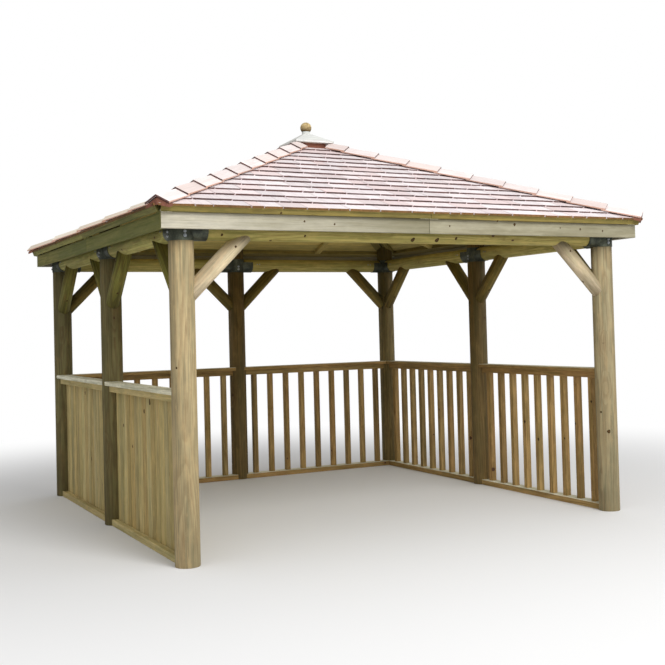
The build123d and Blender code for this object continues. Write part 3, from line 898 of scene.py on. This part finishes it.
# Roof panels: framed halves of each side under boards that run along the eave
hip_inset = HIP_MEMBER * math.sqrt(1 + 1 / COS_PITCH**2) * COS_PITCH
# Rows of deck boards up to this far from the eave keep their side's darker wood instead of the pale ceiling
# wood; on the left, where it reaches 0.4 m, this is painted shade inside the eave
EAVE_PAINTED_SHADE = {side: 0.4 if side == "left" else 0.0 for side in SIDES}
up_unit = {side: on_slope(side, 0, 1, 0) - on_slope(side, 0, 0, 0) for side in SIDES}
for seed, side in enumerate(SIDES):
    ex, ey = side_axes(side)
    panels = Piece(f"roof_frames_{side}", 700 + seed)
    up = up_unit[side]

    def member(points, along, kind=0, low=0, high=FRAME_DEPTH):
        top = [on_slope(side, hand * x, s, high) for x, s in points]
        bottom = [on_slope(side, hand * x, s, low) for x, s in points]
        across = unit(np.cross(along, np.cross(ex, up)))
        plate(panels, [top[:2], top[3:1:-1]], [bottom[:2], bottom[3:1:-1]], along, across, kind=kind)

    hip_x = lambda s: PANEL_END - s * COS_PITCH
    hip_s = lambda x: (PANEL_END - x) / COS_PITCH
    for hand in (1, -1):
        inner = SPLICE + CENTRE_MEMBER
        e = EAVE_MEMBER
        middle = SPLICE + hand * JOINT[side]
        member([(middle, 0), (PANEL_END, 0), (hip_x(e), e), (middle, e)], ex)
        reach = PANEL_END - hip_inset
        hip_dir = unit(-hand * ex + up / COS_PITCH)
        low_x = reach - e * COS_PITCH
        hip_shape = [(low_x, e), (hip_x(e), e), (inner, hip_s(inner)), (inner, (reach - inner) / COS_PITCH)]
        member(hip_shape, hip_dir)
        centre = [(SPLICE, e), (inner, e), (inner, hip_s(inner)), (SPLICE, hip_s(SPLICE))]
        member(centre, up)
        left, right = JACK_PLACE - JACK_WIDTH / 2, JACK_PLACE + JACK_WIDTH / 2
        top_left, top_right = (reach - left) / COS_PITCH, (reach - right) / COS_PITCH
        member([(left, e), (right, e), (right, top_right), (left, top_left)], up, 2)
        row = 0.0
        while row < hip_s(SPLICE) - DECK_LEAST:
            head = min(row + DECK_BOARD - DECK_GAP, hip_s(SPLICE) - FINE_ARRIS)
            board = [(SPLICE, row), (hip_x(row), row), (hip_x(head), head), (SPLICE, head)]
            # Deck rows near the eave keep the darker wood: painted shade on the left
            member(board, ex, 2 if row > EAVE_PAINTED_SHADE[side] else 0, FRAME_DEPTH, DECK_LIFT)
            row += DECK_BOARD
    if side == "front":
        for pixel, size in EAVE_KNOTS.items():
            knot(panels, seen_on_plane(pixel, on_slope(side, 0, 0, 0), up), -up, size)
    # The left roof panels take the same darker, greener copy: partly greener wood, partly painted shade
    wood = greener_and_painted_shade_side_wood if side == "left" else roof_wood
    panels.finish("roof_timber", (wood, knot_wood, ceiling_wood), f"roof_panels_{side}")

# Shingles in overlapping courses, each laid on the course below and cut at the hips
COURSES = int(EAVE / COS_PITCH / EXPOSURE) + 1
RIDGE = (EAVE - CURB) / COS_PITCH
fall = (SHINGLE_BUTT - SHINGLE_HEAD) / EXPOSURE
UNDER_FOOT, UNDER_HEAD, LEAST_LIFT, LEAST_UNDER = SHINGLE_HEAD + 0.0002, 0.001, 0.0016, 0.0004
under_fall = (UNDER_FOOT - UNDER_HEAD) / (EXPOSURE + SHINGLE_LAP)
SLIP, THIN, SKEW, CUP = (-0.0035, 0.0025), (0.0, 0.0025), (-0.0015, 0.0015), (-0.0006, 0.0012)
WIDTH_SHARE, WANDER = (0.93, 1.07), (-0.0008, 0.0008)
for seed, side in enumerate(SIDES):
    ex, ey = side_axes(side)
    up = up_unit[side]
    shingles = Piece(f"cedar_shingles_{side}", 800 + seed)
    rng = shingles.rng
    joints = []
    for course in range(COURSES):
        foot = course * EXPOSURE - OVERHANG
        head = min(foot + EXPOSURE + SHINGLE_LAP, RIDGE)
        limit = EAVE - foot * COS_PITCH + SHINGLE_HEAD * SIN_PITCH
        x = -limit
        placed = []
        while x < limit and foot < RIDGE:
            width = rng.choice(SHINGLE_WIDTHS) * rng.uniform(*WIDTH_SHARE)
            if any(abs(x + width - joint) < JOINTS_APART for joint in joints):
                width += JOINT_SHIFT
            a, b = x + SHINGLE_GAP / 2, min(x + width, limit) - SHINGLE_GAP / 2
            x += width
            placed.append(x)
            if b - a < SHINGLE_LEAST:
                continue
            slip, thin, skew, cup = (rng.uniform(*limits) for limits in (SLIP, THIN, SKEW, CUP))
            top, bottom = [], []
            for s, edge in ((foot, 1), (min(foot + CORNER_LENGTH, head - ARRIS), 0), (head, 0)):
                top_row, bottom_row = [], []
                for k in range(4):
                    t = k / 3
                    s_here = s + edge * (slip + skew * (t - 0.5) * 2 + rng.uniform(*WANDER))
                    lift = SHINGLE_BUTT - thin - fall * (s_here - foot) - cup * 4 * t * (1 - t)
                    lift = max(lift, LEAST_LIFT)
                    under = UNDER_FOOT - under_fall * (s_here - foot)
                    under = max(under, LEAST_UNDER) if course else LEAST_UNDER
                    stop = EAVE - s_here * COS_PITCH + SHINGLE_HEAD * SIN_PITCH
                    here = a + edge * CORNER_WIDTH + (b - a - 2 * edge * CORNER_WIDTH) * t
                    here = max(-stop, min(stop, here))
                    top_row.append(on_slope(side, here, s_here, DECK_LIFT + lift))
                    bottom_row.append(on_slope(side, here, s_here, DECK_LIFT + under))
                top.append(top_row)
                bottom.append(bottom_row)
            # Butts above the eave course take the dark end grain, partly painted shade; on the left, the
            # eave course's butts take a darker copy and its side faces the eave end colour, as painted
            # shade in the joints
            foot_kind = 1 if course else 3 if side == "left" else 2
            rim_kind = 2 if side == "left" and not course else None
            plate(shingles, top, bottom, up, ex, foot_kind=foot_kind, rim_kind=rim_kind)
        joints = placed
    woods = (shingle_wood, end_grain_and_painted_shade_butt_wood, eave_butt_wood, painted_shade_eave_butt_wood)
    shingles.finish("cedar_shingle", woods, f"shingles_{side}")

# Caps over the hips: overlapping pairs of boards that lean on the shingles and meet in a mitre
CAP_PLATE = CAP_TOP - CAP_EDGE - (CAP_HALF - FOOT) * math.tan(CAP_PITCH)
cap_lift = DECK_LIFT + SHINGLE_BUTT + CLEARANCE + HIP_LEAN
hip_caps = Piece("cedar_hip_caps", 900)
rng = hip_caps.rng
HIP_ROWS, HIP_SLIP, HIP_REST, HIP_UNDER_FALL, HIP_UNDER_LEAST = 10, (-0.0015, 0.0015), 0.0004, 0.7, 0.0002
hip_fall = (HIP_BUTT - HIP_HEAD) / HIP_EXPOSURE
for side in SIDES:
    ex, ey = side_axes(side)
    normal = on_slope(side, 0, 0, 1) - on_slope(side, 0, 0, 0)
    for hand in (1, -1):
        foot_point = on_slope(side, -hand * (EAVE + cap_lift * SIN_PITCH), 0, cap_lift)
        hip_dir = unit(ex * hand + ey + UP * RISE)
        into = unit(np.cross(hip_dir, normal)) * hand
        across = into * HIP_WIDTH - normal * HIP_LEAN
        seam = ex * hand - ey
        rng.seed(int(SIDES[side]) * 10 + hand)

        def row(s, lift):
            base = foot_point + hip_dir * s + normal * lift
            mitre = -(base @ seam) / (across @ seam)
            return [base + across * w for w in (mitre, 0.5, 1.0)]

        # A block closes the foot of the hip under the first pair, in the curb's dark colour: painted shade
        blocks = [row(HIP_SETBACK + END_BLOCK_IN + s, END_BLOCK_LIFT) for s in (0, END_BLOCK_LONG)]
        below = lambda p: vec(p[0], p[1], roof_underside(p[0], p[1]) + DECK_LIFT / COS_PITCH)
        deck = [[below(p) for p in points] for points in blocks]
        plate(hip_caps, blocks, deck, hip_dir, unit(across), kind=2)

        last = (CAP_PLATE - row(0, HIP_HEAD)[0][2]) / hip_dir[2]
        for course in range(HIP_ROWS):
            foot = HIP_SETBACK + course * HIP_EXPOSURE
            head = min(foot + HIP_EXPOSURE + HIP_LAP, last)
            slip = rng.uniform(*HIP_SLIP)
            if head - foot < HIP_LEAST:
                continue
            top, bottom = [], []
            for s in (foot + slip, head):
                drop = hip_fall * (s - foot)
                top.append(row(s, HIP_BUTT - drop))
                bottom.append(row(s, max(HIP_HEAD + HIP_REST - drop * HIP_UNDER_FALL, HIP_UNDER_LEAST)))
            kind = 3 if (side, hand) in (("left", 1), ("back", -1)) else 0
            # Hip board butts take the dark end grain, partly painted shade
            plate(hip_caps, top, bottom, hip_dir, unit(across), foot_kind=1, kind=kind, rim_kind=4)
woods = (hip_wood, end_grain_and_painted_shade_butt_wood, painted_shade_curb_wood, pale_hip_wood, hip_edge_wood)
hip_caps.finish("cedar_shingle", woods, "hip_caps")

# Square cap over the peak of the roof, on a curb whose darker colour is painted shade under the cap
cap, curb = Piece("peak_cap", 950), Piece("peak_curb", 951)
flat = [[[vec(x, y, z) for x in (-FOOT, FOOT)] for y in (-FOOT, FOOT)] for z in (CAP_TOP, CAP_PLATE)]
plate(cap, *flat, vec(1, 0, 0), vec(0, 1, 0), 0.8)
for side in SIDES:
    ex, ey = side_axes(side)
    quarter = lambda reach, z: [ex * x - ey * reach + UP * z for x in (-reach, reach)]
    top = [quarter(CAP_HALF, CAP_PLATE + CAP_EDGE), quarter(FOOT, CAP_TOP)]
    bottom = [quarter(CAP_HALF, CAP_PLATE), quarter(FOOT, CAP_PLATE)]
    plate(cap, top, bottom, ex, -ey, 0.8)
    inside = CURB - CURB_WALL
    curb_top = [quarter(CURB, CAP_PLATE), quarter(inside, CAP_PLATE)]
    curb_bottom = [quarter(CURB, CAP_FOOT), quarter(inside, CAP_FOOT + CURB_WALL * RISE)]
    plate(curb, curb_top, curb_bottom, ex, -ey)
cap.finish("cap_timber", (cap_wood,), "roof_cap")
curb.finish("cap_timber", (painted_shade_curb_wood,))

# Turned ball on a neck
ball = Piece("turned_ball", 960)
BALL_RISE, BALL_RINGS, BALL_STOP = FINIAL_TOP - BALL - CAP_TOP, 40, 0.03
profile = [(FOOT - FINE_ARRIS, 0), (FOOT, FINE_ARRIS), (FOOT, FOOT_HEIGHT - FINE_ARRIS)]
profile += [(FOOT - FINE_ARRIS, FOOT_HEIGHT), (NECK, FOOT_HEIGHT)]
start_angle = -math.acos(NECK / BALL)
# The lower half of the ball fades towards the stain colour: painted shade
fades_and_painted_shade = [0.0] * len(profile)
for angle in np.linspace(start_angle, math.pi / 2 - BALL_STOP, BALL_RINGS):
    profile.append((BALL * math.cos(angle), BALL_RISE + BALL * math.sin(angle)))
    fades_and_painted_shade.append(min(1.0, max(0.0, 0.3 - angle)))
turned(ball, UP * CAP_TOP, UP, profile, FINE_FACETS, 5, 0.9, fades_and_painted_shade, foot_kind=1)
ball.finish("finial_timber", (finial_wood, cap_wood), "finial")

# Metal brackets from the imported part, with bolts opposite each arm and screws beside it
BOLT = [(0.011, -0.001), (0.011, 0.0018), (0.0075, 0.0018), (0.0075, 0.0075), (0.006, 0.0085)]
BOLT_RISE, BOLT_SPACING, BOLT_FACETS = -0.023, 0.026, (12, 6)
SCREW_HEAD = [(0.00585, -0.002), (0.00585, 0.0012), (0.0039, 0.002)]
SCREW_RISE, SCREW_PAST, SCREW_FACETS = 0.012, (0.045, 0.07), 12
for place, (px, py, tone, turns) in POSTS.items():
    # The brackets take the dark olive steel: painted reflection and painted shade over galvanised grey
    skins = nodes[f"bracket_{place}"].data.materials
    skins.clear()
    skins.append(galvanised_painted_shade_and_reflection)
    straight = (turns[1] - turns[0]) % 360 == 180
    for turn in turns:
        a = math.radians(turn)
        towards = vec(math.cos(a), math.sin(a), 0)
        out = vec(-towards[1], towards[0], 0) if straight else -towards
        for step, facets in enumerate(BOLT_FACETS):
            height = UP * (BEAM_AXIS + BOLT_RISE + (step - 0.5) * BOLT_SPACING)
            turned(screws, vec(px, py, 0) + out * SLEEVE_RADIUS + height, out, BOLT, facets)
        flank = vec(-towards[1], towards[0], 0)
        for sideways in (flank, -flank):
            normal = unit(sideways * math.sqrt(BEAM_RADIUS**2 - SCREW_RISE**2) + UP * SCREW_RISE)
            for past in SCREW_PAST:
                spot = vec(px, py, BEAM_AXIS) + towards * (CRADLE_REACH + past) + normal * BEAM_RADIUS
                turned(screws, spot, normal, SCREW_HEAD, SCREW_FACETS)
screws.finish("galvanised_steel", (zinc,))

# Floor: pale to the eye, plain grey to the light that it throws back, white in the distance
FLOOR_REACH, FLOOR_FADE = 60, (3.0, 7.0)
FLOOR_SEEN, FLOOR_THROWN_BACK = (0.8, 0.8, 0.8, 1), (0.75, 0.75, 0.75, 1)
floor_mesh = bpy.data.meshes.new("floor")
corners = [(FLOOR_REACH * x, FLOOR_REACH * y, 0) for x, y in ((-1, -1), (1, -1), (1, 1), (-1, 1))]
floor_mesh.from_pydata(corners, [], [(0, 1, 2, 3)])
floor = made("floor", floor_mesh)
floor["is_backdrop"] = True
floor_material, tree, surface = shader("floor", 0.0)
place = tree.nodes.new("ShaderNodeTexCoord").outputs["Object"]
put(surface.inputs["Base Color"], mixed(seen(tree), FLOOR_THROWN_BACK, FLOOR_SEEN))
surface.inputs["Roughness"].default_value = 1.0
glow = tree.nodes.new("ShaderNodeEmission")
fade = times(spread(vectors("LENGTH", place), *FLOOR_FADE), seen(tree))
blended(tree.nodes["Material Output"], fade, surface.outputs[0], glow.outputs[0])
floor_mesh.materials.append(floor_material)

# Soft studio light, brighter over the open front than behind, and a white background
SKY_TOWARDS, SKY_FACING, SKY_LEVELS = (0.2, -0.55, 0.78), (-0.5, 1.0), (0.3, 0.85)
world = bpy.data.worlds.new("world")
bpy.context.scene.world = world
world.use_nodes = True
tree = world.node_tree
light = tree.nodes["Background"]
direction = tree.nodes.new("ShaderNodeTexCoord").outputs["Generated"]
level = spread(vectors("DOT_PRODUCT", direction, SKY_TOWARDS), *SKY_FACING, *SKY_LEVELS)
put(light.inputs["Color"], joined(level, level, level))
white = tree.nodes.new("ShaderNodeBackground")
white.inputs["Color"].default_value = (1, 1, 1, 1)
blended(tree.nodes["World Output"], seen(tree), light.outputs[0], white.outputs[0])

KEY_PLACE, KEY_AIM, KEY_ACROSS, KEY_POWER = (0.5, -9.0, 7.0), (0, 0, 1.5), 5.0, 600
key_data = bpy.data.lights.new("key", "AREA")
key_data.shape = "DISK"
key_data.size = KEY_ACROSS
key_data.energy = KEY_POWER
key = made("key", key_data)
key.location = KEY_PLACE
key.rotation_euler = (Vector(KEY_AIM) - Vector(KEY_PLACE)).to_track_quat("-Z", "Y").to_euler()

# The camera
camera_data = bpy.data.cameras.new("camera")
camera = made("camera", camera_data)
turn = Matrix((view_right, view_top, -forward)).transposed()
camera.matrix_world = Matrix.Translation(CAMERA_PLACE) @ turn.to_4x4()
camera_data.sensor_width = SENSOR
camera_data.lens = FOCAL / PIXELS * SENSOR
camera_data.shift_x = (PIXELS / 2 - PRINCIPAL[0]) / PIXELS
camera_data.shift_y = (PRINCIPAL[1] - PIXELS / 2) / PIXELS
camera_data.clip_end = 200
bpy.context.scene.camera = camera
bpy.context.scene.view_settings.view_transform = "Standard"

final_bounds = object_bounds()
plain = lambda bounds: [list(map(float, corner)) for corner in bounds]
{"packed": plain(packed_bounds), "visual": plain(final_bounds)}
